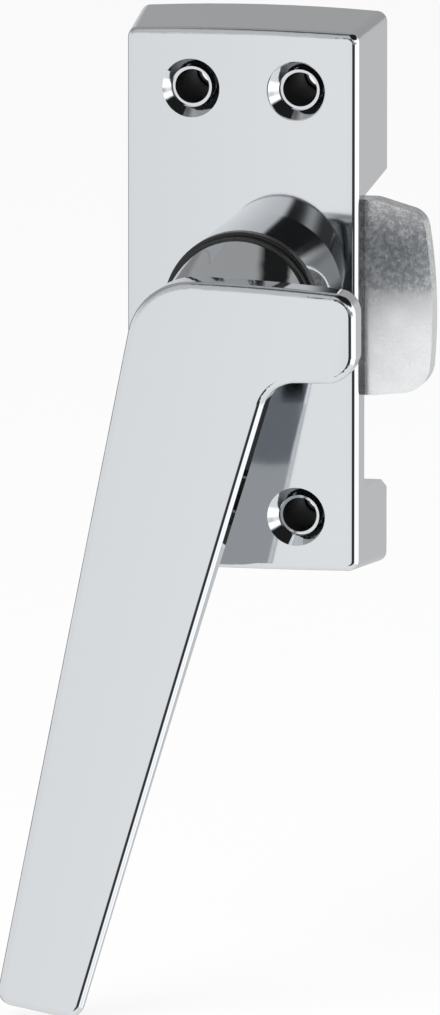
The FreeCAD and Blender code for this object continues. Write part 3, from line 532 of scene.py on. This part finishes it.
def add_world():
    """White surroundings for the camera, cards for mirrors, and plain soft light for everything else."""
    world = bpy.data.worlds.new("studio")
    bpy.context.scene.world = world
    world.use_nodes = True
    tree = world.node_tree
    tree.nodes.clear()
    light_path = add_node(tree, "LightPath")
    by_mirror = combine(tree, "MAXIMUM", light_path.outputs["Is Glossy Ray"],
                        light_path.outputs["Is Transmission Ray"])
    cards, plain, white = (
        add_node(tree, "Background", {"Color": WHITE, "Strength": strength}).outputs["Background"]
        for strength in (studio_light(tree), MATT_LIGHT, 1.0)
    )
    mirrored = add_node(tree, "MixShader", {0: by_mirror, 1: plain, 2: cards}).outputs["Shader"]
    surface = add_node(tree, "MixShader", {
        0: light_path.outputs["Is Camera Ray"], 1: mirrored, 2: white,
    }).outputs["Shader"]
    add_node(tree, "OutputWorld", {"Surface": surface})


# The floor lies this far under the lever's tip, and the rest of what it sends back is shaded by the object
FLOOR_GAP = 0.2 * MM
FLOOR_WHITE = 0.85


def add_floor(settings):
    """Plain pale floor under the fastener, white to the camera but for the object's shadow."""
    half = settings.studio.floor_width / 2
    low = CAD_BOX[0][2] - FLOOR_GAP
    mesh = bpy.data.meshes.new("floor")
    place = Matrix.Translation((0, 0, low))
    shape = bmesh.new()
    bmesh.ops.create_grid(shape, x_segments=1, y_segments=1, size=half, matrix=place)
    shape.to_mesh(mesh)
    shape.free()
    floor = bpy.data.objects.new("floor", mesh)
    bpy.context.scene.collection.objects.link(floor)
    material, tree = new_material("pale_floor")
    matt = add_node(tree, "BsdfDiffuse", {"Color": colour(settings.colours.floor)}).outputs["BSDF"]
    white = add_node(tree, "Emission", {"Color": WHITE, "Strength": 1.0}).outputs["Emission"]
    share = combine(tree, "MULTIPLY", is_studio_ray(tree), FLOOR_WHITE)
    finish_material(tree, add_node(tree, "MixShader", {0: share, 1: matt, 2: white}).outputs["Shader"])
    mesh.materials.append(material)
    floor.visible_glossy = False


# Where the softboxes stand: degrees from the front to the right, degrees of elevation, metres away
KEY_SOFTBOX = (-35, 45, 1.2)
FILL_SOFTBOX = (60, 20, 1.4)


def add_softbox(name, stand, width, power):
    """Square lamp that faces the object."""
    azimuth, elevation, distance = stand
    towards = view_axes(math.radians(azimuth), math.radians(elevation))[2]
    data = bpy.data.lights.new(name, "AREA")
    data.size = width
    data.energy = power
    lamp = bpy.data.objects.new(name, data)
    lamp.location = towards * distance
    lamp.rotation_euler = towards.to_track_quat("Z", "Y").to_euler()
    lamp.visible_glossy = False
    bpy.context.scene.collection.objects.link(lamp)


class FASTENER_OT_studio(bpy.types.Operator):
    """Set up the floor, the soft light and the camera"""
    bl_idname = "fastener.studio"
    bl_label = "Studio"

    def execute(self, context):
        settings = context.scene.window_fastener
        studio = settings.studio
        add_floor(settings)
        add_world()
        add_softbox("key_softbox", KEY_SOFTBOX, studio.softbox_width, studio.key_power)
        add_softbox("fill_softbox", FILL_SOFTBOX, studio.softbox_width, studio.fill_power)
        add_camera(studio)
        context.scene.view_settings.view_transform = "Standard"
        return {"FINISHED"}


class FASTENER_PT_panel(bpy.types.Panel):
    """Steps that finish the fastener"""
    bl_idname = "FASTENER_PT_panel"
    bl_label = "Window fastener"
    bl_space_type = "VIEW_3D"
    bl_region_type = "UI"
    bl_category = "Fastener"

    def draw(self, context):
        for step in STEPS:
            self.layout.operator(step.bl_idname)


STEPS = (
    FASTENER_OT_studio,
    FASTENER_OT_housing,
    FASTENER_OT_handle,
    FASTENER_OT_black_ring,
    FASTENER_OT_tongue,
    FASTENER_OT_works,
)
CLASSES = (FinishColours, FinishSizes, StudioSettings, FastenerSettings, *STEPS, FASTENER_PT_panel)


def register():
    """Make the classes known to Blender."""
    for item in CLASSES:
        bpy.utils.register_class(item)
    bpy.types.Scene.window_fastener = PointerProperty(type=FastenerSettings)


def unregister():
    """Take them out again."""
    del bpy.types.Scene.window_fastener
    for item in reversed(CLASSES):
        bpy.utils.unregister_class(item)


def main():
    """Run every step."""
    register()
    bpy.ops.fastener.studio()
    bpy.ops.fastener.housing()
    bpy.ops.fastener.handle()
    bpy.ops.fastener.black_ring()
    bpy.ops.fastener.tongue()
    bpy.ops.fastener.works()


if __name__ == "__main__":
    main()
